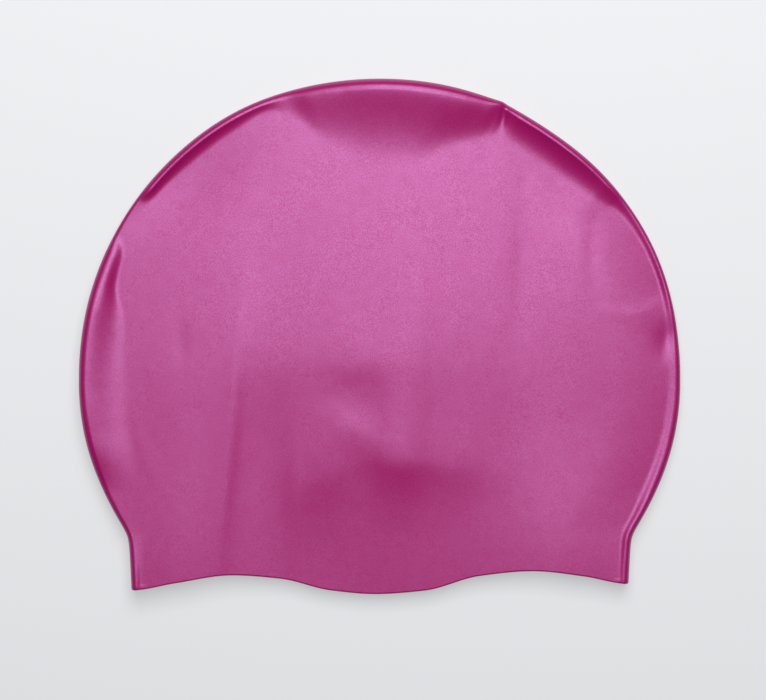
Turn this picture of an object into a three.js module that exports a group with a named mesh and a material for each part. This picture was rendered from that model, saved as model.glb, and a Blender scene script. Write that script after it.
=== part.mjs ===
// Silicone swim cap, one moulded shell with no seam. It lies flat on its back layer, front layer up,
// with the mouth towards -Y and the crown towards +Y. The back layer rests on z = 0. The two layers
// meet in a rolled edge all round the outline except across the mouth, where the hem is open.
// Units are millimetres. "Up" in the names below is from the hem to the crown, along Y.
import * as THREE from 'three';

const CAP_WIDTH = 222; // across the widest part of the lying cap
const CAP_LENGTH = 190; // lowest point of the hem to the crown
const WIDEST_UP = 79.5; // lowest point of the hem to the level where the cap is widest
const NECK_WIDTH = 185; // across the top of the straight band above the hem
const NECK_UP = 21.5; // lowest point of the hem to the top of that band
const HEM_WIDTH = 183; // across the mouth
const HEM_WAVE = 8.6; // highest point of the hem above its lowest
const NECK_BEND = 1.6; // softness of the bend where the side meets the straight band
const WALL = 1; // thickness of the silicone
const EDGE_HEIGHT = 11.2; // top of a plain rolled edge above the table
const EDGE_ROLL = 3.6; // from the outline in to the top of the rolled edge, seen from above
const EDGE_FALL = 17; // long slope from the rolled edge down to the front, seen from above
const EDGE_DIP = 2; // depth of a deep dip of the front along the edge
const DIP_REACH = 24; // how far that dip reaches in
const FRONT_HEIGHT = 7.3; // outside of the front layer above the table, beside the hem
const FRONT_RISE = 1.5; // how much higher the front lies towards the crown
const FRONT_BULGE = 0.5; // further rise of the front layer at its middle
const FOLD_HEIGHT = 1.6; // height of a full fold on the front layer

// Shape numbers without a unit
const DOME_POWER = 2.05; // the crown is a superellipse of this power
const SIDE_POWER = 2.15; // the side below the widest level curves in by this power
const EQUATOR = 0.47; // the outline's height, as a share of the rolled edge's
const STEP_UP = 0.42; // level where the front rises most, as a share of CAP_LENGTH
const STEP_REACH = 0.16; // how softly it rises there, as a share of CAP_LENGTH
const DIP_POWER = 1.6; // the dip along the edge fades inwards by this power

// Mesh density
const OUTLINE_STATIONS = 100; // cross-sections round the outline
const HEM_STATIONS = 26; // points along the hem of one layer, between the rolled edges
const ROLL_STEPS = 5; // facets on a quarter of the rolled edge
const FRONT_RINGS = [0, 0.025, 0.055, 0.095, 0.15, 0.24, 0.36, 0.5, 0.65, 0.82]; // from edge to middle

const HALF_WIDTH = CAP_WIDTH / 2;
const DOME_RISE = CAP_LENGTH - WIDEST_UP;
const QUARTER = HALF_WIDTH * (Math.PI / 2); // pace of the places along the sides, see below

// The hem from the right corner (across 1) to the left corner (across -1). rise is a share of HEM_WAVE.
const HEM = [
  { across: -1, rise: 0.19 },
  { across: -0.82, rise: 0.5 },
  { across: -0.6, rise: 0.82 },
  { across: -0.4, rise: 0.66 },
  { across: -0.2, rise: 0.16 },
  { across: -0.02, rise: 0 },
  { across: 0.18, rise: 0.15 },
  { across: 0.4, rise: 0.78 },
  { across: 0.62, rise: 1 },
  { across: 0.82, rise: 0.78 },
  { across: 1, rise: 0.45 },
];

// Places on the outline are counted in quarters of the crown: 1 is the widest level on the right, 2
// the crown and 3 the widest level on the left. The sides go on below at the same pace, to about
// 0.57 at the right corner of the hem and 3.45 at the left one.

// Where folding has pushed the outline out or in. out is a share of EDGE_ROLL, reach is in quarters,
// and a power of 1 makes a corner where 2 makes a soft swell.
const KINKS = [
  { at: 1.27, out: 0.13, reach: 0.14, power: 2 },
  { at: 1.62, out: -0.2, reach: 0.12, power: 2 },
  { at: 1.735, out: 0.22, reach: 0.03, power: 1 },
  { at: 2.3, out: 0.17, reach: 0.15, power: 2 },
];

// The rolled edge along the outline. crest, roll, fall and dip are shares of EDGE_HEIGHT, EDGE_ROLL,
// EDGE_FALL and EDGE_DIP. A high crest with a short fall is a crease. A lean below 1 makes the fall
// steepest beside the crest, and above 1 beside its foot.
const EDGE = [
  { at: 0.566, crest: 0.68, roll: 0.6, fall: 0.12, dip: 0, lean: 1 },
  { at: 0.64, crest: 0.68, roll: 0.6, fall: 0.12, dip: 0.15, lean: 1 },
  { at: 0.7, crest: 0.67, roll: 0.6, fall: 0.14, dip: 0.36, lean: 1 },
  { at: 0.78, crest: 0.65, roll: 0.7, fall: 0.18, dip: 0.55, lean: 1 },
  { at: 0.95, crest: 0.67, roll: 0.66, fall: 0.18, dip: 0.54, lean: 1 },
  { at: 1.09, crest: 0.71, roll: 0.6, fall: 0.2, dip: 0.5, lean: 1 },
  { at: 1.2, crest: 0.71, roll: 0.6, fall: 0.14, dip: 0.72, lean: 1 },
  { at: 1.3, crest: 0.7, roll: 0.6, fall: 0.16, dip: 0.7, lean: 1 },
  { at: 1.37, crest: 0.72, roll: 0.6, fall: 0.2, dip: 0.6, lean: 0.9 },
  { at: 1.405, crest: 0.78, roll: 0.6, fall: 0.26, dip: 0.46, lean: 0.8 },
  { at: 1.45, crest: 0.93, roll: 0.6, fall: 0.48, dip: 0.14, lean: 0.6 },
  { at: 1.57, crest: 1, roll: 0.6, fall: 0.54, dip: 0, lean: 0.56 },
  { at: 1.68, crest: 0.99, roll: 0.6, fall: 0.54, dip: 0, lean: 0.55 },
  { at: 1.735, crest: 0.91, roll: 0.6, fall: 0.7, dip: 0, lean: 0.7 },
  { at: 1.82, crest: 1.06, roll: 1.1, fall: 1.2, dip: 0, lean: 0.8 },
  { at: 1.9, crest: 1.14, roll: 1.2, fall: 1.6, dip: 0, lean: 0.72 },
  { at: 2, crest: 1.14, roll: 1.2, fall: 1.7, dip: 0, lean: 0.68 },
  { at: 2.09, crest: 1.02, roll: 1.2, fall: 1.3, dip: 0, lean: 0.72 },
  { at: 2.15, crest: 0.9, roll: 1.2, fall: 0.8, dip: 0, lean: 0.8 },
  { at: 2.21, crest: 0.85, roll: 0.8, fall: 0.4, dip: 0, lean: 0.7 },
  { at: 2.26, crest: 0.87, roll: 0.6, fall: 0.22, dip: 0, lean: 0.6 },
  { at: 2.34, crest: 0.92, roll: 0.6, fall: 0.26, dip: 0, lean: 0.6 },
  { at: 2.44, crest: 0.95, roll: 0.62, fall: 0.26, dip: 0, lean: 0.6 },
  { at: 2.56, crest: 0.93, roll: 0.62, fall: 0.2, dip: 0, lean: 0.62 },
  { at: 2.6, crest: 0.82, roll: 0.6, fall: 0.2, dip: 0, lean: 0.8 },
  { at: 2.68, crest: 0.8, roll: 0.6, fall: 0.2, dip: 0, lean: 1 },
  { at: 2.72, crest: 0.9, roll: 0.78, fall: 0.26, dip: 0, lean: 1.2 },
  { at: 2.78, crest: 0.97, roll: 0.84, fall: 0.34, dip: 0, lean: 1.2 },
  { at: 2.86, crest: 0.98, roll: 0.84, fall: 0.54, dip: 0, lean: 1.15 },
  { at: 2.95, crest: 0.94, roll: 0.84, fall: 0.66, dip: 0, lean: 1.15 },
  { at: 3.05, crest: 0.87, roll: 0.8, fall: 0.7, dip: 0, lean: 1.05 },
  { at: 3.14, crest: 0.8, roll: 0.72, fall: 0.56, dip: 0, lean: 1 },
  { at: 3.24, crest: 0.73, roll: 0.66, fall: 0.3, dip: 0, lean: 1 },
  { at: 3.32, crest: 0.7, roll: 0.62, fall: 0.2, dip: 0, lean: 1 },
  { at: 3.447, crest: 0.69, roll: 0.6, fall: 0.12, dip: 0, lean: 1 },
];

// Soft folds of the cap's upper side. across is a share of half CAP_WIDTH and up of CAP_LENGTH, at the
// fold's middle. long, left, right and soft are shares of CAP_WIDTH: half the length, the width of the
// flank on each side, and the roundness of the ridge. turn is in degrees from the X axis, left is the
// side that it turns towards, and rise is a share of FOLD_HEIGHT, negative for a dent.
const FOLDS = [
  {
    name: 'middle_step',
    across: 0.06, up: 0.256, turn: -4, rise: 1,
    long: 0.048, left: 0.2, right: 0.052, soft: 0.034,
  },
  {
    name: 'left_arm',
    across: -0.16, up: 0.236, turn: 24, rise: 0.46,
    long: 0.07, left: 0.14, right: 0.06, soft: 0.03,
  },
  {
    name: 'right_arm',
    across: 0.23, up: 0.252, turn: -6, rise: 0.5,
    long: 0.07, left: 0.14, right: 0.046, soft: 0.03,
  },
  {
    name: 'slanting_swell',
    across: -0.08, up: 0.312, turn: -38, rise: 0.44,
    long: 0.06, left: 0.032, right: 0.032, soft: 0.026,
  },
  {
    name: 'left_swell',
    across: -0.72, up: -0.05, turn: 90, rise: 2.6,
    long: 0.29, left: 0.8, right: 0.15, soft: 0.06,
  },
  {
    name: 'right_swell',
    across: 0.62, up: 0, turn: 90, rise: 2.2,
    long: 0.28, left: 0.065, right: 0.3, soft: 0.08,
  },
  {
    name: 'left_step',
    across: -0.498, up: 0.32, turn: 85, rise: 1.05,
    long: 0.22, left: 0.4, right: 0.03, soft: 0.006,
  },
  {
    name: 'left_hollow',
    across: -0.3, up: 0.09, turn: 92, rise: -0.85,
    long: 0.22, left: 0.08, right: 0.09, soft: 0.05,
  },
  {
    name: 'across_step',
    across: -0.12, up: 0.452, turn: 0, rise: 0.25,
    long: 0.14, left: 0.08, right: 0.04, soft: 0.04,
  },
  {
    name: 'right_pleat',
    across: 0.66, up: 0.62, turn: 88, rise: 0.23,
    long: 0.15, left: 0.036, right: 0.11, soft: 0.02,
  },
  {
    name: 'upper_right_hollow',
    across: 0.65, up: 0.8, turn: -36, rise: -0.7,
    long: 0.11, left: 0.03, right: 0.03, soft: 0.04,
  },
  {
    name: 'upper_left_hollow',
    across: -0.62, up: 0.8, turn: 40, rise: -0.6,
    long: 0.11, left: 0.03, right: 0.03, soft: 0.04,
  },
];

const smoothMax = (a, b, softness) => (a + b + Math.hypot(a - b, softness)) / 2;

// A value of one column of a table at a place along it, on a smooth curve that never overshoots.
function tableValue(table, placeColumn, column, place) {
  const last = table.length - 1;
  const rows = table.map((row) => row[placeColumn]);
  const next = Math.min(Math.max(rows.findIndex((p) => p > place), 1), last);
  const i = rows[last] <= place ? last : next;
  const run = (k) => (table[k][column] - table[k - 1][column]) / (rows[k] - rows[k - 1]);
  const slope = (k) => {
    if (k === 0 || k === last) return 0;
    return run(k) * run(k + 1) > 0 ? (2 * run(k) * run(k + 1)) / (run(k) + run(k + 1)) : 0;
  };
  const width = rows[i] - rows[i - 1];
  const t = THREE.MathUtils.clamp((place - rows[i - 1]) / width, 0, 1);
  const a = table[i - 1][column];
  const b = table[i][column];
  const rise = (3 - 2 * t) * t * t;
  const lead = t * (1 - t) * (1 - t) * width * slope(i - 1);
  return a + (b - a) * rise + lead - t * t * (1 - t) * width * slope(i);
}

const hemUp = (x) => HEM_WAVE * tableValue(HEM, 'across', 'rise', (2 * x) / HEM_WIDTH);
const cornerUp = { right: HEM_WAVE * HEM.at(-1).rise, left: HEM_WAVE * HEM[0].rise };
const rightCorner = 1 - (WIDEST_UP - cornerUp.right) / QUARTER;
const leftCorner = 3 + (WIDEST_UP - cornerUp.left) / QUARTER;

// Half the cap's width at a height below the widest level: the side's curve down to the straight band.
function halfWidthAt(up) {
  const below = Math.max((WIDEST_UP - up) / (WIDEST_UP - NECK_UP), 0);
  const side = HALF_WIDTH - (HALF_WIDTH - NECK_WIDTH / 2) * below ** SIDE_POWER;
  const band = HEM_WIDTH / 2 + ((NECK_WIDTH - HEM_WIDTH) / 2) * (up / NECK_UP);
  return Math.min(smoothMax(side, band, NECK_BEND), HALF_WIDTH);
}

// How far the crown's outline lies from the middle of the widest level, at a place in quarters.
function domeReach(place) {
  const angle = (place - 1) * (Math.PI / 2);
  const across = Math.abs(Math.cos(angle)) / HALF_WIDTH;
  const up = Math.abs(Math.sin(angle)) / DOME_RISE;
  const plain = (across ** DOME_POWER + up ** DOME_POWER) ** (-1 / DOME_POWER);
  const pushed = KINKS.map((k) => k.out * Math.exp(-((Math.abs(place - k.at) / k.reach) ** k.power)));
  return plain + EDGE_ROLL * pushed.reduce((sum, out) => sum + out, 0);
}

// A point of the outline, x across and y up from the hem.
function outlineAt(place) {
  if (place >= 1 && place <= 3) {
    const angle = (place - 1) * (Math.PI / 2);
    const reach = domeReach(place);
    return new THREE.Vector2(reach * Math.cos(angle), WIDEST_UP + reach * Math.sin(angle));
  }
  const up = WIDEST_UP - QUARTER * (place < 1 ? 1 - place : place - 3);
  return new THREE.Vector2((place < 1 ? 1 : -1) * halfWidthAt(up), up);
}

// The direction from the outline straight in, at a place in quarters.
function inwardAt(place) {
  const step = 0.003;
  const ahead = outlineAt(Math.min(place + step, leftCorner));
  const along = ahead.sub(outlineAt(Math.max(place - step, rightCorner))).normalize();
  return new THREE.Vector2(-along.y, along.x);
}

// The place on the outline beside a point, and how far in from the outline the point is.
function nearEdge(x, up) {
  if (up >= WIDEST_UP) {
    const place = 1 + Math.atan2(up - WIDEST_UP, x) / (Math.PI / 2);
    return { place, inside: domeReach(place) - Math.hypot(x, up - WIDEST_UP) };
  }
  const below = (WIDEST_UP - up) / QUARTER;
  const slant = (halfWidthAt(up + 1) - halfWidthAt(up - 1)) / 2;
  const inside = (halfWidthAt(up) - Math.abs(x)) / Math.hypot(1, slant);
  return { place: x > 0 ? 1 - below : 3 + below, inside };
}

function edgeAt(place) {
  return {
    crest: EDGE_HEIGHT * tableValue(EDGE, 'at', 'crest', place),
    roll: EDGE_ROLL * tableValue(EDGE, 'at', 'roll', place),
    fall: EDGE_FALL * tableValue(EDGE, 'at', 'fall', place),
    dip: EDGE_DIP * tableValue(EDGE, 'at', 'dip', place),
    lean: tableValue(EDGE, 'at', 'lean', place),
  };
}

// A soft fold fades along its line as a Gaussian, and away from the line on each side as an
// exponential of that flank's width, rounded over the ridge.
function foldRise(fold, x, up) {
  const angle = THREE.MathUtils.degToRad(fold.turn);
  const dx = (x - fold.across * HALF_WIDTH) / CAP_WIDTH;
  const dy = (up - fold.up * CAP_LENGTH) / CAP_WIDTH;
  const along = (dx * Math.cos(angle) + dy * Math.sin(angle)) / fold.long;
  const away = dy * Math.cos(angle) - dx * Math.sin(angle);
  const flank = away > 0 ? fold.left : fold.right;
  const awayShare = (Math.hypot(away, fold.soft) - fold.soft) / flank;
  return fold.rise * FOLD_HEIGHT * Math.exp(-along * along - awayShare);
}

const foldsRise = (x, up) => FOLDS.reduce((sum, fold) => sum + foldRise(fold, x, up), 0);

// Height of the front layer's outside, in from the rolled edge. It rises from the hem to the crown and
// bulges a little, it dips along the edge, the edge's crest falls to it, and the folds lie on top.
function frontHeight(x, up) {
  const { place, inside } = nearEdge(x, up);
  const { crest, roll, fall, dip, lean } = edgeAt(place);
  const fromMiddle = Math.hypot(x / HALF_WIDTH, (up - WIDEST_UP) / DOME_RISE);
  const bulge = FRONT_BULGE * Math.cos(Math.min(fromMiddle, 1) * (Math.PI / 2));
  const risen = (1 + Math.tanh((up / CAP_LENGTH - STEP_UP) / STEP_REACH)) / 2;
  const dipped = dip * Math.max(1 - inside / DIP_REACH, 0) ** DIP_POWER;
  const front = FRONT_HEIGHT + FRONT_RISE * risen + bulge - dipped;
  const beyond = THREE.MathUtils.clamp((inside - roll) / fall, 0, 1);
  const fallen = THREE.MathUtils.smoothstep(beyond ** lean, 0, 1);
  return crest + (front - crest) * fallen + foldsRise(x, up);
}

const MIDDLE = new THREE.Vector2(0, WIDEST_UP); // where the rings of each layer close up

// Places of the cross-sections round the outline, from the right corner of the hem to the left one.
const stations = Array.from({ length: OUTLINE_STATIONS }, (_, i) =>
  THREE.MathUtils.lerp(rightCorner, leftCorner, i / (OUTLINE_STATIONS - 1)),
);

// A point of a cross-section, in from the outline. Near the mouth the sections lean until the last
// one lies along the hem.
function sectionPoint(place, inside) {
  const start = outlineAt(place);
  const point = start.clone().addScaledVector(inwardAt(place), inside);
  const corner = place < 2 ? cornerUp.right : cornerUp.left;
  const lean = Math.exp((corner - start.y) / (2 * EDGE_ROLL));
  point.y += (hemUp(point.x) - corner - (point.y - start.y)) * lean;
  return point;
}

// One cross-section of the rolled edge's outside, from the crest over the outline to the table.
function edgeSection(place) {
  const { crest, roll } = edgeAt(place);
  const inner = sectionPoint(place, roll);
  const top = crest + foldsRise(inner.x, inner.y);
  const equator = EQUATOR * top;
  return Array.from({ length: 2 * ROLL_STEPS + 1 }, (_, i) => {
    const angle = (Math.PI / 2) * (1 - i / ROLL_STEPS);
    const point = sectionPoint(place, roll * (1 - Math.cos(angle)));
    const half = angle > 0 ? top - equator : equator;
    return new THREE.Vector3(point.x, point.y, equator + half * Math.sin(angle));
  });
}

// Points of the hem between the two rolled edges, from left to right.
const rightEnd = sectionPoint(rightCorner, edgeAt(rightCorner).roll);
const leftEnd = sectionPoint(leftCorner, edgeAt(leftCorner).roll);
const hem = Array.from({ length: HEM_STATIONS }, (_, i) => {
  const x = THREE.MathUtils.lerp(leftEnd.x, rightEnd.x, (i + 1) / (HEM_STATIONS + 1));
  return new THREE.Vector2(x, hemUp(x));
});

const sections = stations.map(edgeSection);
const sectionSize = 2 * ROLL_STEPS + 1;

// The outside as one indexed mesh: the rolled edge, the front layer in rings, the flat back layer.
function outside() {
  const points = [];
  const faces = [];
  const add = (point) => points.push(point) - 1;
  const quad = (a, b, c, d) => faces.push([a, b, c], [a, c, d]);
  const edge = sections.map((section) => section.map(add));
  for (let s = 0; s + 1 < edge.length; s++) {
    for (let i = 0; i + 1 < sectionSize; i++) {
      quad(edge[s][i], edge[s][i + 1], edge[s + 1][i + 1], edge[s + 1][i]);
    }
  }
  const crests = edge.map((section) => section[0]);
  const feet = edge.map((section) => section[sectionSize - 1]);
  const frontHem = hem.map((p) => add(new THREE.Vector3(p.x, p.y, frontHeight(p.x, p.y))));
  const backHem = hem.map((p) => add(new THREE.Vector3(p.x, p.y, 0)));
  const rim = [...crests, ...frontHem];
  const rings = FRONT_RINGS.map((share) => {
    if (share === 0) return rim;
    return rim.map((index) => {
      const start = new THREE.Vector2(points[index].x, points[index].y);
      const p = start.lerp(MIDDLE, share);
      return add(new THREE.Vector3(p.x, p.y, frontHeight(p.x, p.y)));
    });
  });
  const count = rim.length;
  for (let r = 0; r + 1 < rings.length; r++) {
    for (let k = 0; k < count; k++) {
      const next = (k + 1) % count;
      quad(rings[r][k], rings[r][next], rings[r + 1][next], rings[r + 1][k]);
    }
  }
  const frontMiddle = add(new THREE.Vector3(MIDDLE.x, MIDDLE.y, frontHeight(MIDDLE.x, MIDDLE.y)));
  const backMiddle = add(new THREE.Vector3(MIDDLE.x, MIDDLE.y, 0));
  const backRim = [...feet, ...backHem];
  for (let k = 0; k < count; k++) {
    const next = (k + 1) % count;
    faces.push([rings.at(-1)[k], rings.at(-1)[next], frontMiddle]);
    faces.push([backRim[next], backRim[k], backMiddle]);
  }
  // The open border, once round the mouth: left corner, front hem, right corner, back hem.
  const border = [...edge.at(-1).slice().reverse(), ...frontHem, ...edge[0], ...backHem.slice().reverse()];
  return { points, faces, border };
}

// The whole wall: the outside, the same surface moved in by the wall, and the hem's cut face.
function capShell() {
  const { points, faces, border } = outside();
  const skin = new THREE.BufferGeometry().setFromPoints(points);
  skin.setIndex(faces.flat());
  skin.computeVertexNormals();
  const normals = skin.getAttribute('normal');
  const inner = points.map((point, i) => {
    const normal = new THREE.Vector3().fromBufferAttribute(normals, i);
    return point.clone().addScaledVector(normal, -WALL);
  });
  const shift = points.length;
  const lining = faces.map(([a, b, c]) => [a + shift, c + shift, b + shift]);
  const cut = border.flatMap((a, i) => {
    const b = border[(i + 1) % border.length];
    return [
      [b, a, a + shift],
      [b, a + shift, b + shift],
    ];
  });
  const geometry = new THREE.BufferGeometry().setFromPoints([...points, ...inner]);
  geometry.setIndex([...faces, ...lining, ...cut].flat());
  geometry.translate(0, -CAP_LENGTH / 2, 0);
  geometry.computeVertexNormals();
  return geometry;
}

const silicone = new THREE.MeshStandardMaterial({ color: 0xbe4a93, roughness: 0.42, metalness: 0.15 });

const swimCap = new THREE.Group();
const shell = new THREE.Mesh(capShell(), silicone);
shell.name = 'cap_shell';
swimCap.add(shell);

export default swimCap;
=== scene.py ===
"""A silicone swim cap lying flat on a pale table, seen from straight above.

The cap is one moulded skin, folded flat: a front layer, a back layer, and a rolled edge that joins
them all round the outline except across the mouth. Every surface is worked out on a grid of two
parameters, and the lining is the same surface moved in by the wall. Lengths in the shape's own
functions are millimetres, with x across the cap and up from the lowest point of the hem to the crown.
"""
import math

import bpy
import numpy as np
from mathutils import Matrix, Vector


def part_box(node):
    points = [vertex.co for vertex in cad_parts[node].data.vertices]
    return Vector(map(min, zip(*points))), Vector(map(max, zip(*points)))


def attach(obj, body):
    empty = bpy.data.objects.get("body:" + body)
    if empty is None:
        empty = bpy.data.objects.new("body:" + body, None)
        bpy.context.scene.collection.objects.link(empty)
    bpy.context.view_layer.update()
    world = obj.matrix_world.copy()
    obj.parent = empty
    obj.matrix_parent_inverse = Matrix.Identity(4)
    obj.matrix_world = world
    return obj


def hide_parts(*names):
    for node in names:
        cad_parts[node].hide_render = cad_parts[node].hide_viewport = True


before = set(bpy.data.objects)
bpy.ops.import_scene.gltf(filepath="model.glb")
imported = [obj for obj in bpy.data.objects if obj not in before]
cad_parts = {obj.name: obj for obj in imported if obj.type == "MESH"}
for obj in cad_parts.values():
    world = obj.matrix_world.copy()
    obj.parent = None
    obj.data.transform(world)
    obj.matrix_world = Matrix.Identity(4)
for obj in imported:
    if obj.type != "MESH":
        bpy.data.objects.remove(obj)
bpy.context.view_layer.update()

MM = 0.001
shell_low, shell_high = np.array(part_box("cap_shell")) / MM

# The cap's sizes, in millimetres
HALF_WIDTH = (shell_high[0] - shell_low[0]) / 2
CAP_WIDTH = 2 * HALF_WIDTH
CAP_LENGTH = shell_high[1] - shell_low[1]
WIDEST_UP = 79.5
DOME_RISE = CAP_LENGTH - WIDEST_UP
NECK_WIDTH = 185.0
NECK_UP = 21.5
HEM_WIDTH = 183.0
HEM_WAVE = 8.6
NECK_BEND = 1.6
WALL = 1.0
LIP = WALL / 2
EDGE_HEIGHT = 11.2
EDGE_ROLL = 3.6
EDGE_FALL = 17.0
EDGE_DIP = 2.0
DIP_REACH = 24.0
FRONT_HEIGHT = 7.15
FRONT_RISE = 1.8
FRONT_BULGE = 0.5
FOLD_HEIGHT = 1.6

# Shape numbers without a unit
DOME_POWER = 2.05
SIDE_POWER = 2.15
EQUATOR = 0.47
ROLL_POWER = 2.7
STEP_UP = 0.385
STEP_REACH = 0.16
DIP_POWER = 1.6

# Mesh density: numbers of steps, and how many of the front's rings go to one of the lining's or back's
OUTLINE_STATIONS = 540
HEM_STATIONS = 110
FRONT_RINGS = 74
ROLL_STEPS = 8
LINING_EVERY = 3
LIP_STEPS = 4
BACK_EVERY = 8

# Colours of the silicone and its pearl, and how finely and strongly the pearl varies. At a pearl
# level of 0.5 the surface mirrors as much as its IOR gives. The undulation's depth is in millimetres.
SILICONE_COLOUR = (0.31, 0.002, 0.10)
SILICONE_ROUGHNESS = 0.38
SILICONE_IOR = 1.745
PEARL_TINT = (0.88, 0.48, 1.0)
PEARL_LEVEL = 0.5
FLECKS_PER_METRE = 2400.0
FLECK_CONTRAST = 0.85
PATCHES_PER_METRE = 260.0
PATCH_CONTRAST = 0.15
UNDULATIONS_PER_METRE = 60.0
UNDULATION_DEPTH = 0.05

# The table: half its side and its depth below the cap in metres, its colour, and its glow, which
# rises along Y over the stretch between the two ends of GLOW_REACH, in metres. The glow is painted
# light: it lifts the shadow that the cap casts on the table, and its rise along Y stands in for the
# table being lit more brightly nearer the soft box
TABLE_HALF = 3.0
TABLE_DROP = 0.0003
TABLE_COLOUR = (0.29, 0.294, 0.302)
TABLE_GLOW = (0.96, 0.975, 1.0)
GLOW_REACH = (-0.15, 0.15)
GLOW_STRENGTH = (0.46, 0.56)

# The light and the sky, in metres and watts
LIGHT_PLACE = (0.05, 0.40, 1.1)
LIGHT_AIM = (0.05, 0, 0)
LIGHT_SIZE = (0.7, 0.9)
LIGHT_POWER = 17.2
SKY_COLOUR = (0.95, 0.97, 1.0)
SKY_STRENGTH = 0.06

# The camera looks straight down. Its frame is this wide at the height of the cap's outline, in
# millimetres, and its place is given from the middle of the cap.
FRAME_WIDTH = 283.1
CAMERA_DISTANCE = 1000.0
CAMERA_ACROSS = 1.1
CAMERA_UP = -5.0
SENSOR_WIDTH = 36

# Share of half the hem's width from the middle, and rise as a share of HEM_WAVE
HEM = [
    (-1.00, 0.19), (-0.82, 0.50), (-0.60, 0.82), (-0.40, 0.66), (-0.20, 0.16), (-0.02, 0.00),
    (0.18, 0.15), (0.40, 0.78), (0.62, 1.00), (0.82, 0.78), (1.00, 0.45),
]

# Places on the outline are counted in quarters of the crown: 1 is the widest level on the right, 2
# the crown and 3 the widest level on the left. The sides go on below at the same pace, to about
# 0.57 at the right corner of the hem and 3.45 at the left one.

# Place, push outwards as a share of EDGE_ROLL, reach in quarters, and power: 1 is a corner, 2 a swell
KINKS = [
    (1.27, 0.13, 0.14, 2),
    (1.62, -0.20, 0.12, 2),
    (1.735, 0.22, 0.03, 1),
    (2.30, 0.17, 0.15, 2),
]

# Place, then crest, roll, fall and dip as shares of EDGE_HEIGHT, EDGE_ROLL, EDGE_FALL and EDGE_DIP,
# and lean: below 1 the fall is steepest beside the crest, above 1 it is steepest beside its foot
EDGE = [
    (0.566, 0.68, 0.60, 0.12, 0.00, 1.00),
    (0.64, 0.68, 0.60, 0.12, 0.15, 1.00),
    (0.70, 0.67, 0.60, 0.14, 0.36, 1.00),
    (0.78, 0.65, 0.70, 0.18, 0.55, 1.00),
    (0.86, 0.65, 0.70, 0.18, 0.56, 1.00),
    (0.95, 0.67, 0.66, 0.18, 0.54, 1.00),
    (1.04, 0.69, 0.62, 0.20, 0.52, 1.00),
    (1.09, 0.71, 0.56, 0.20, 0.50, 1.00),
    (1.130, 0.73, 0.45, 0.14, 0.60, 1.00),
    (1.20, 0.71, 0.40, 0.12, 0.95, 1.00),
    (1.30, 0.70, 0.38, 0.14, 1.05, 1.00),
    (1.37, 0.74, 0.38, 0.20, 0.90, 0.90),
    (1.405, 0.80, 0.42, 0.28, 0.70, 0.80),
    (1.425, 0.87, 0.50, 0.40, 0.45, 0.66),
    (1.45, 0.94, 0.64, 0.48, 0.20, 0.60),
    (1.57, 1.06, 0.76, 0.58, 0.00, 0.53),
    (1.68, 1.05, 0.76, 0.58, 0.00, 0.53),
    (1.715, 0.99, 0.66, 0.60, 0.00, 0.60),
    (1.735, 1.00, 0.56, 0.80, 0.00, 0.70),
    (1.760, 1.03, 0.85, 0.88, 0.00, 0.80),
    (1.82, 1.13, 1.10, 1.14, 0.00, 0.78),
    (1.90, 1.19, 1.20, 1.56, 0.00, 0.70),
    (2.00, 1.17, 1.20, 1.62, 0.00, 0.66),
    (2.09, 1.06, 1.20, 1.34, 0.00, 0.70),
    (2.15, 0.96, 1.15, 1.00, 0.00, 0.75),
    (2.21, 0.85, 0.80, 0.40, 0.00, 0.70),
    (2.26, 0.87, 0.70, 0.18, 0.00, 0.60),
    (2.34, 0.93, 0.76, 0.24, 0.00, 0.56),
    (2.44, 0.96, 0.78, 0.24, 0.00, 0.56),
    (2.560, 0.93, 0.74, 0.18, 0.00, 0.60),
    (2.598, 0.82, 0.45, 0.20, 0.00, 0.80),
    (2.68, 0.80, 0.50, 0.20, 0.00, 1.00),
    (2.72, 0.90, 0.78, 0.26, 0.00, 1.20),
    (2.78, 0.97, 0.84, 0.34, 0.00, 1.20),
    (2.86, 1.06, 0.82, 0.72, 0.00, 0.86),
    (2.95, 1.04, 0.80, 0.86, 0.00, 0.80),
    (3.05, 0.98, 0.76, 0.95, 0.00, 0.78),
    (3.14, 0.86, 0.70, 0.90, 0.00, 0.80),
    (3.24, 0.66, 0.62, 0.60, 0.00, 0.90),
    (3.32, 0.65, 0.60, 0.40, 0.00, 1.00),
    (3.37, 0.67, 0.60, 0.20, 0.00, 1.00),
    (3.447, 0.69, 0.60, 0.12, 0.00, 1.00),
]

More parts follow.
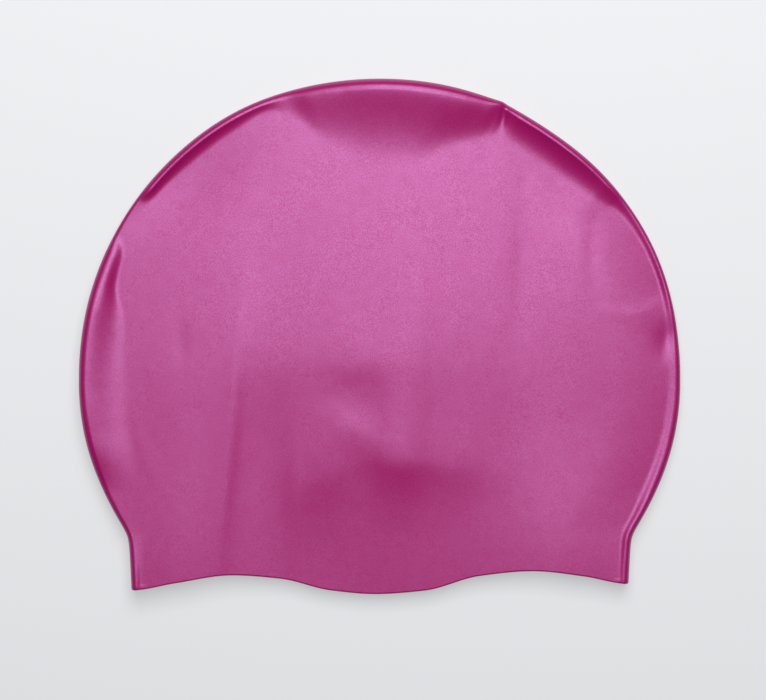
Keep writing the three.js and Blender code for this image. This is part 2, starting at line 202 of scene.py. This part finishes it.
# Folds of the front. across is a share of HALF_WIDTH and up of CAP_LENGTH, at the fold's middle.
# long, left, right and soft are shares of CAP_WIDTH: half the length, the width of the flank on
# each side, and the roundness of the ridge. turn is in degrees from the X axis, bend curves the
# fold to its left, and rise is a share of FOLD_HEIGHT, negative for a dent.
FOLDS = [
    # across, up, long, left, right, soft, turn, bend, rise
    # Step down in the middle with an arm on each side, and a slanting swell above it
    (0.06, 0.262, 0.050, 0.200, 0.054, 0.028, -4, 0.0, 1.12),
    (-0.17, 0.236, 0.074, 0.140, 0.070, 0.030, 26, 0.0, 0.66),
    (0.23, 0.256, 0.072, 0.140, 0.050, 0.030, -6, 0.0, 0.62),
    (-0.08, 0.312, 0.060, 0.032, 0.032, 0.026, -38, 0.0, 0.44),
    # Swells that lift the hem on both sides
    (-0.70, -0.05, 0.290, 0.800, 0.170, 0.060, 90, 0.0, 3.00),
    (0.61, 0.00, 0.280, 0.080, 0.300, 0.080, 90, 0.0, 2.30),
    # Long step down from the left, a broad hollow beyond its foot, and a lesser step inside that
    (-0.498, 0.320, 0.220, 0.400, 0.024, 0.006, 85, 0.0, 1.05),
    (-0.300, 0.090, 0.220, 0.080, 0.090, 0.050, 92, 0.0, -0.85),
    (-0.285, 0.180, 0.120, 0.060, 0.030, 0.008, 90, 0.0, 0.45),
    # Broad swell above the step, and gentle steps down across the middle
    (-0.05, 0.474, 0.330, 0.900, 0.250, 0.120, 0, 0.0, 0.86),
    (-0.12, 0.452, 0.140, 0.080, 0.040, 0.040, 0, 0.0, 0.25),
    (-0.06, 0.446, 0.050, 0.060, 0.026, 0.020, 20, 0.0, 0.20),
    # Long pleats of the upper right
    (0.47, 0.630, 0.120, 0.014, 0.014, 0.010, 89, 0.0, -0.25),
    (0.66, 0.620, 0.150, 0.036, 0.110, 0.020, 88, 0.0, 0.17),
    # Ridge beside the lower left edge, and a short dent above it
    (-0.82, 0.338, 0.120, 0.010, 0.010, 0.006, 104, -1.4, 0.04),
    (-0.66, 0.488, 0.030, 0.008, 0.008, 0.006, 90, 0.0, -0.10),
    # Hollows inside the two creases
    (0.65, 0.800, 0.110, 0.030, 0.030, 0.040, -36, 0.0, -0.70),
    (-0.62, 0.800, 0.110, 0.030, 0.030, 0.040, 40, 0.0, -0.60),
    # Nip in the edge at the upper right, and a short hooked dent on the right
    (0.411, 0.930, 0.020, 0.005, 0.004, 0.003, 80, 0.0, -0.70),
    (0.952, 0.497, 0.030, 0.018, 0.010, 0.008, 76, 0.0, -0.46),
    (0.850, 0.545, 0.050, 0.006, 0.012, 0.008, 12, 6.0, 0.08),
    (0.700, 0.640, 0.080, 0.007, 0.010, 0.008, 94, -2.0, -0.09),
]


def table_value(rows, column, place):
    """Value of a column at each place, on a smooth curve that never overshoots its rows.

    Between two rows it is a cubic. Its slope at a row is the harmonic mean of the slopes on the
    row's two sides, or zero where these differ in sign.
    """
    table = np.array(rows)
    at = table[:, 0]
    value = table[:, column]
    run = np.diff(value) / np.diff(at)
    same_sign = run[1:] * run[:-1] > 0
    total = np.where(same_sign, run[1:] + run[:-1], 1.0)
    slope = np.zeros(len(at))
    slope[1:-1] = np.where(same_sign, 2 * run[1:] * run[:-1] / total, 0.0)
    i = np.clip(np.searchsorted(at, place, side="right"), 1, len(at) - 1)
    width = at[i] - at[i - 1]
    t = np.clip((place - at[i - 1]) / width, 0, 1)
    blend = (3 - 2 * t) * t * t
    lead = t * (1 - t) ** 2 * width * slope[i - 1]
    tail = t * t * (1 - t) * width * slope[i]
    return value[i - 1] + (value[i] - value[i - 1]) * blend + lead - tail


def smooth_step(t):
    """Rises from 0 to 1 in an S-curve as t goes from 0 to 1."""
    t = np.clip(t, 0, 1)
    return t * t * (3 - 2 * t)


def hem_up(x):
    """Height of the hem above its lowest point, LIP inside the wall's rounded end."""
    return LIP + HEM_WAVE * table_value(HEM, 1, 2 * x / HEM_WIDTH)


QUARTER = HALF_WIDTH * np.pi / 2
CORNER_UP = {side: LIP + HEM_WAVE * rise for side, rise in ((1, HEM[-1][1]), (-1, HEM[0][1]))}
RIGHT_CORNER = 1 - (WIDEST_UP - CORNER_UP[1]) / QUARTER
LEFT_CORNER = 3 + (WIDEST_UP - CORNER_UP[-1]) / QUARTER


def half_width_at(up):
    """Half the width at a height below the widest level: a power curve, then the straight band."""
    below = np.maximum((WIDEST_UP - up) / (WIDEST_UP - NECK_UP), 0)
    side = HALF_WIDTH - (HALF_WIDTH - NECK_WIDTH / 2) * below**SIDE_POWER
    band = HEM_WIDTH / 2 + (NECK_WIDTH - HEM_WIDTH) / 2 * (up / NECK_UP)
    softened = (side + band + np.hypot(side - band, NECK_BEND)) / 2
    return np.minimum(softened, HALF_WIDTH)


def dome_reach(place):
    """Distance of the crown's outline from the middle of the widest level: a superellipse, pushed
    out or in by each kink."""
    angle = (place - 1) * np.pi / 2
    across = np.abs(np.cos(angle)) / HALF_WIDTH
    up = np.abs(np.sin(angle)) / DOME_RISE
    reach = (across**DOME_POWER + up**DOME_POWER) ** (-1 / DOME_POWER)
    for at, out, spread, power in KINKS:
        reach = reach + EDGE_ROLL * out * np.exp(-((np.abs(place - at) / spread) ** power))
    return reach


def outline_at(place):
    """Point of the outline: a polar curve over the crown, and the side's width below it."""
    angle = (place - 1) * np.pi / 2
    reach = dome_reach(place)
    right = place < 2
    side_up = WIDEST_UP - QUARTER * np.maximum(np.where(right, 1 - place, place - 3), 0)
    side_x = np.where(right, 1, -1) * half_width_at(side_up)
    on_dome = (place >= 1) & (place <= 3)
    x = np.where(on_dome, reach * np.cos(angle), side_x)
    up = np.where(on_dome, WIDEST_UP + reach * np.sin(angle), side_up)
    return np.stack([x, up], axis=-1)


def inward_at(place):
    """Unit direction from the outline straight in, from the outline's own slope."""
    step = 0.003
    ahead = np.minimum(place + step, LEFT_CORNER)
    behind = np.maximum(place - step, RIGHT_CORNER)
    along = outline_at(ahead) - outline_at(behind)
    along = along / np.linalg.norm(along, axis=-1, keepdims=True)
    return np.stack([-along[..., 1], along[..., 0]], axis=-1)


def near_edge(x, up):
    """Place on the outline beside each point, and how far in from the outline the point is."""
    dome_place = 1 + np.arctan2(np.maximum(up - WIDEST_UP, 0), x) / (np.pi / 2)
    dome_inside = dome_reach(dome_place) - np.hypot(x, up - WIDEST_UP)
    below = (WIDEST_UP - up) / QUARTER
    lean = (half_width_at(up + 1) - half_width_at(up - 1)) / 2
    side_inside = (half_width_at(up) - np.abs(x)) / np.hypot(1, lean)
    on_dome = up >= WIDEST_UP
    place = np.where(on_dome, dome_place, np.where(x > 0, 1 - below, 3 + below))
    return place, np.where(on_dome, dome_inside, side_inside)


def edge_at(place):
    """Height of the crest, width of the roll, length of the fall and depth of the dip in mm, and
    the fall's lean."""
    scales = (EDGE_HEIGHT, EDGE_ROLL, EDGE_FALL, EDGE_DIP, 1)
    return [scale * table_value(EDGE, k + 1, place) for k, scale in enumerate(scales)]


def fold_rise(fold, x, up):
    """A fold: its height fades along a bent line as a Gaussian, and away from the line on each side
    as an exponential of that flank's width, rounded over the ridge."""
    across, centre_up, long, left, right, soft, turn, bend, rise = fold
    angle = math.radians(turn)
    dx = (x - across * HALF_WIDTH) / CAP_WIDTH
    dy = (up - centre_up * CAP_LENGTH) / CAP_WIDTH
    along = dx * math.cos(angle) + dy * math.sin(angle)
    away = dy * math.cos(angle) - dx * math.sin(angle) - bend * along**2
    flank = np.where(away > 0, left, right)
    return rise * FOLD_HEIGHT * np.exp(-((along / long) ** 2) - (np.hypot(away, soft) - soft) / flank)


def folds_rise(x, up):
    """All folds together."""
    return sum(fold_rise(fold, x, up) for fold in FOLDS)


def front_height(x, up):
    """Height of the front layer: it rises from the hem to the crown in a tanh curve and bulges a
    little, it dips along the outline over DIP_REACH, the crest falls to it in an S-curve, and the
    folds lie on top."""
    place, inside = near_edge(x, up)
    crest, roll, fall, dip, lean = edge_at(place)
    from_middle = np.hypot(x / HALF_WIDTH, (up - WIDEST_UP) / DOME_RISE)
    beyond = np.maximum(inside - roll, 0)
    bulge = FRONT_BULGE * np.cos(np.minimum(from_middle, 1) * np.pi / 2)
    risen = (1 + np.tanh((up / CAP_LENGTH - STEP_UP) / STEP_REACH)) / 2
    front = FRONT_HEIGHT + FRONT_RISE * risen + bulge
    front = front - dip * np.clip(1 - inside / DIP_REACH, 0, 1) ** DIP_POWER
    fallen = smooth_step(np.minimum(beyond / fall, 1) ** lean)
    return crest + (front - crest) * fallen + folds_rise(x, up)


def front_normal(x, up):
    """Unit normal of the front layer, from the height's slope over a short step."""
    step = 0.2
    slope_x = (front_height(x + step, up) - front_height(x - step, up)) / (2 * step)
    slope_up = (front_height(x, up + step) - front_height(x, up - step)) / (2 * step)
    normal = np.stack([-slope_x, -slope_up, np.ones_like(slope_x)], axis=-1)
    return normal / np.linalg.norm(normal, axis=-1, keepdims=True)


def section_point(place, inside):
    """Point straight in from the outline. Near the mouth the sections lean to lie along the hem."""
    start = outline_at(place)
    point = start + inward_at(place) * inside[..., None]
    corner = np.where(place < 2, CORNER_UP[1], CORNER_UP[-1])
    lean = np.exp((corner - start[..., 1]) / (2 * EDGE_ROLL))
    point[..., 1] += (hem_up(point[..., 0]) - corner - (point[..., 1] - start[..., 1])) * lean
    return point


def rolled_edge(places):
    """Rolled edge and its normals on a grid: places along the outline by steps round the roll.

    Each section is two quarter superellipses, from the crest out to the outline and in to the
    table.
    """
    angles = np.pi / 2 * (1 - np.arange(2 * ROLL_STEPS + 1) / ROLL_STEPS)
    place, angle = np.meshgrid(places, angles, indexing="ij")
    crest, roll, *_ = edge_at(place)
    top = section_point(place, roll)
    crest = crest + folds_rise(top[..., 0], top[..., 1])
    equator = EQUATOR * crest
    half = np.where(angle > 0, crest - equator, equator)
    cosine = np.maximum(np.cos(angle), 0)
    sine = np.sin(angle)
    flat = section_point(place, roll * (1 - cosine ** (2 / ROLL_POWER)))
    up = equator + half * np.sign(sine) * np.abs(sine) ** (2 / ROLL_POWER)
    points = np.concatenate([flat, up[..., None]], axis=-1)
    outward = -inward_at(place) * (cosine ** (2 - 2 / ROLL_POWER) / roll)[..., None]
    upward = np.sign(sine) * np.abs(sine) ** (2 - 2 / ROLL_POWER) / half
    normals = np.concatenate([outward, upward[..., None]], axis=-1)
    return points, normals / np.linalg.norm(normals, axis=-1, keepdims=True)


def ring_shares():
    """Shares of the way from the rim to the middle, closest together beside the rim."""
    return (np.arange(FRONT_RINGS) / FRONT_RINGS) ** 1.5


class Skin:
    """Collects grids of points and joins them with faces that point the same way."""

    def __init__(self):
        self.points = []
        self.faces = []
        self.count = 0

    def add(self, points):
        """Adds an array of points and returns their numbers in the same layout."""
        self.points.append(points.reshape(-1, 3))
        numbers = self.count + np.arange(points[..., 0].size).reshape(points.shape[:-1])
        self.count += numbers.size
        return numbers

    def grid(self, numbers, flip=False):
        """Four-sided faces between neighbouring rows and columns of a grid of point numbers."""
        corners = [numbers[:-1, :-1], numbers[:-1, 1:], numbers[1:, 1:], numbers[1:, :-1]]
        if flip:
            corners.reverse()
        self.faces += np.stack(corners, axis=-1).reshape(-1, 4).tolist()

    def fan(self, ring, middle, flip=False):
        """Triangles from a closed ring of point numbers to its middle."""
        after = np.roll(ring, -1)
        corners = [after, ring] if flip else [ring, after]
        self.faces += [[a, b, middle] for a, b in zip(*(c.tolist() for c in corners))]


def closed(ring_numbers):
    """Repeats a grid's first column after its last, so that its rings close."""
    return np.concatenate([ring_numbers, ring_numbers[:, :1]], axis=1)


def build_cap():
    """The whole wall of the cap as one closed mesh."""
    places = np.linspace(RIGHT_CORNER, LEFT_CORNER, OUTLINE_STATIONS)
    edge, edge_normals = rolled_edge(places)
    hem_x = np.linspace(edge[-1, 0, 0], edge[0, 0, 0], HEM_STATIONS + 2)[1:-1]
    hem = np.stack([hem_x, hem_up(hem_x)], axis=-1)
    middle = np.array([0.0, WIDEST_UP])
    shares = ring_shares()

    # Front layer: rings from the crest and the hem to the middle
    rim = np.concatenate([edge[:, 0, :2], hem])
    flat = rim + (middle - rim) * shares[:, None, None]
    front = np.concatenate([flat, front_height(flat[..., 0], flat[..., 1])[..., None]], axis=-1)
    normals = front_normal(flat[..., 0], flat[..., 1])
    count = len(places)

    # Back layer: flat on the table
    foot_rim = np.concatenate([edge[:, -1, :2], hem])
    back_flat = foot_rim + (middle - foot_rim) * shares[::BACK_EVERY, None, None]
    back = np.concatenate([back_flat, np.zeros_like(back_flat[..., :1])], axis=-1)

    skin = Skin()
    borders = []
    for depth, flip, every in ((0.0, False, 1), (WALL, True, LINING_EVERY)):
        edge_numbers = skin.add(edge - depth * edge_normals)
        front_numbers = skin.add((front - depth * normals)[::every])
        front_numbers[0, :count] = edge_numbers[:, 0]
        back_numbers = skin.add(back + [0, 0, depth])
        back_numbers[0, :count] = edge_numbers[:, -1]
        skin.grid(edge_numbers.T, not flip)
        skin.grid(closed(front_numbers), flip)
        skin.grid(closed(back_numbers), not flip)
        top = np.array([*middle, front_height(*middle) - depth])
        skin.fan(front_numbers[-1], int(skin.add(top)), flip)
        skin.fan(back_numbers[-1], int(skin.add(np.array([*middle, depth]))), not flip)
        borders.append(
            np.concatenate(
                [
                    edge_numbers[-1, ::-1],
                    front_numbers[0, count:],
                    edge_numbers[0],
                    back_numbers[0, count:][::-1],
                ]
            )
        )

    # Rounded end of the wall round the mouth: half circles from the outside to the lining
    points = np.concatenate(skin.points)
    outer, inner = (points[border] for border in borders)
    turn = np.pi * np.arange(1, LIP_STEPS) / LIP_STEPS
    centre = (outer + inner) / 2
    half = (outer - inner) / 2
    bulge = np.array([0, -LIP, 0])
    lip = centre + half * np.cos(turn)[:, None, None] + bulge * np.sin(turn)[:, None, None]
    lip_numbers = np.concatenate([borders[0][None], skin.add(lip), borders[1][None]])
    skin.grid(closed(lip_numbers), True)

    points = np.concatenate(skin.points)
    points[:, 1] += shell_low[1]
    used = np.unique(np.concatenate([np.array(face) for face in skin.faces]))
    renumber = np.zeros(len(points), dtype=int)
    renumber[used] = np.arange(len(used))
    mesh = bpy.data.meshes.new("silicone_cap")
    faces = [[int(renumber[n]) for n in face] for face in skin.faces]
    mesh.from_pydata((points[used] * MM).tolist(), [], faces)
    mesh.polygons.foreach_set("use_smooth", [True] * len(mesh.polygons))
    mesh.update()
    cap = bpy.data.objects.new("silicone_cap", mesh)
    bpy.context.scene.collection.objects.link(cap)
    return cap


def pearl_silicone():
    """Deep magenta silicone with a fine violet pearl that lights up where it faces the light.

    The pearl's level is the sum of two noises, flecks of about 0.4 mm and soft patches of a few
    millimetres, about its mean. A third noise makes the surface undulate.
    """
    material = bpy.data.materials.new("pearl_silicone")
    material.use_nodes = True
    nodes = material.node_tree.nodes
    links = material.node_tree.links
    shader = nodes["Principled BSDF"]
    shader.inputs["Base Color"].default_value = (*SILICONE_COLOUR, 1)
    shader.inputs["Roughness"].default_value = SILICONE_ROUGHNESS
    shader.inputs["IOR"].default_value = SILICONE_IOR
    shader.inputs["Specular Tint"].default_value = (*PEARL_TINT, 1)
    place = nodes.new("ShaderNodeTexCoord").outputs["Object"]

    def noise(per_metre):
        node = nodes.new("ShaderNodeTexNoise")
        node.inputs["Scale"].default_value = per_metre
        links.new(place, node.inputs["Vector"])
        return node.outputs["Fac"]

    def scaled_sum(value, factor, other):
        node = nodes.new("ShaderNodeMath")
        node.operation = "MULTIPLY_ADD"
        links.new(value, node.inputs[0])
        node.inputs[1].default_value = factor
        if isinstance(other, float):
            node.inputs[2].default_value = other
        else:
            links.new(other, node.inputs[2])
        return node.outputs[0]

    lowest = PEARL_LEVEL - (FLECK_CONTRAST + PATCH_CONTRAST) / 2
    flecks = scaled_sum(noise(FLECKS_PER_METRE), FLECK_CONTRAST, lowest)
    level = scaled_sum(noise(PATCHES_PER_METRE), PATCH_CONTRAST, flecks)
    links.new(level, shader.inputs["Specular IOR Level"])

    bump = nodes.new("ShaderNodeBump")
    bump.inputs["Distance"].default_value = UNDULATION_DEPTH * MM
    links.new(noise(UNDULATIONS_PER_METRE), bump.inputs["Height"])
    links.new(bump.outputs["Normal"], shader.inputs["Normal"])
    return material


def add_light(name, place, aim, size, power):
    """A soft rectangular light that faces a point with the same X as its own place."""
    lamp = bpy.data.lights.new(name, "AREA")
    lamp.shape = "RECTANGLE"
    lamp.size, lamp.size_y = size
    lamp.energy = power
    light = bpy.data.objects.new(name, lamp)
    bpy.context.scene.collection.objects.link(light)
    light.location = place
    toward = np.array(aim) - np.array(place)
    toward = toward / np.linalg.norm(toward)
    light.rotation_euler = (math.acos(-toward[2]) * (1 if toward[1] > 0 else -1), 0, 0)


def table_top():
    """A pale table under the cap that glows with painted light. The glow lifts the cap's shadow on it
    and rises a little towards the crown, nearer the soft box.
    """
    mesh = bpy.data.meshes.new("table_top")
    corners = [(-1, -1), (1, -1), (1, 1), (-1, 1)]
    points = [(x * TABLE_HALF, y * TABLE_HALF, -TABLE_DROP) for x, y in corners]
    mesh.from_pydata(points, [], [(0, 1, 2, 3)])
    floor = bpy.data.objects.new("table_top", mesh)
    bpy.context.scene.collection.objects.link(floor)
    material = bpy.data.materials.new("pale_paper_painted_glow")
    material.use_nodes = True
    nodes = material.node_tree.nodes
    links = material.node_tree.links
    shader = nodes["Principled BSDF"]
    shader.inputs["Base Color"].default_value = (*TABLE_COLOUR, 1)
    shader.inputs["Emission Color"].default_value = (*TABLE_GLOW, 1)
    shader.inputs["Roughness"].default_value = 0.9
    shader.inputs["Specular IOR Level"].default_value = 0.1
    place = nodes.new("ShaderNodeSeparateXYZ")
    links.new(nodes.new("ShaderNodeTexCoord").outputs["Object"], place.inputs[0])
    glow = nodes.new("ShaderNodeMapRange")
    for socket, value in zip(glow.inputs[1:5], (*GLOW_REACH, *GLOW_STRENGTH)):
        socket.default_value = value
    links.new(place.outputs["Y"], glow.inputs["Value"])
    # Painted light: the table's glow grows stronger along Y, towards the soft box
    links.new(glow.outputs["Result"], shader.inputs["Emission Strength"])
    mesh.materials.append(material)


cap = build_cap()
cap.data.materials.append(pearl_silicone())
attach(cap, "root")
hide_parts("cap_shell")

table_top()
add_light("soft_box", LIGHT_PLACE, LIGHT_AIM, LIGHT_SIZE, LIGHT_POWER)

world = bpy.data.worlds.new("studio")
world.use_nodes = True
sky = world.node_tree.nodes["Background"]
sky.inputs["Color"].default_value = (*SKY_COLOUR, 1)
sky.inputs["Strength"].default_value = SKY_STRENGTH
bpy.context.scene.world = world
bpy.context.scene.view_settings.view_transform = "Standard"

camera_data = bpy.data.cameras.new("camera")
camera_data.sensor_width = SENSOR_WIDTH
camera_data.lens = SENSOR_WIDTH * CAMERA_DISTANCE / FRAME_WIDTH
camera = bpy.data.objects.new("camera", camera_data)
camera_height = CAMERA_DISTANCE + EQUATOR * EDGE_HEIGHT
camera.location = (CAMERA_ACROSS * MM, CAMERA_UP * MM, camera_height * MM)
bpy.context.scene.collection.objects.link(camera)
bpy.context.scene.camera = camera
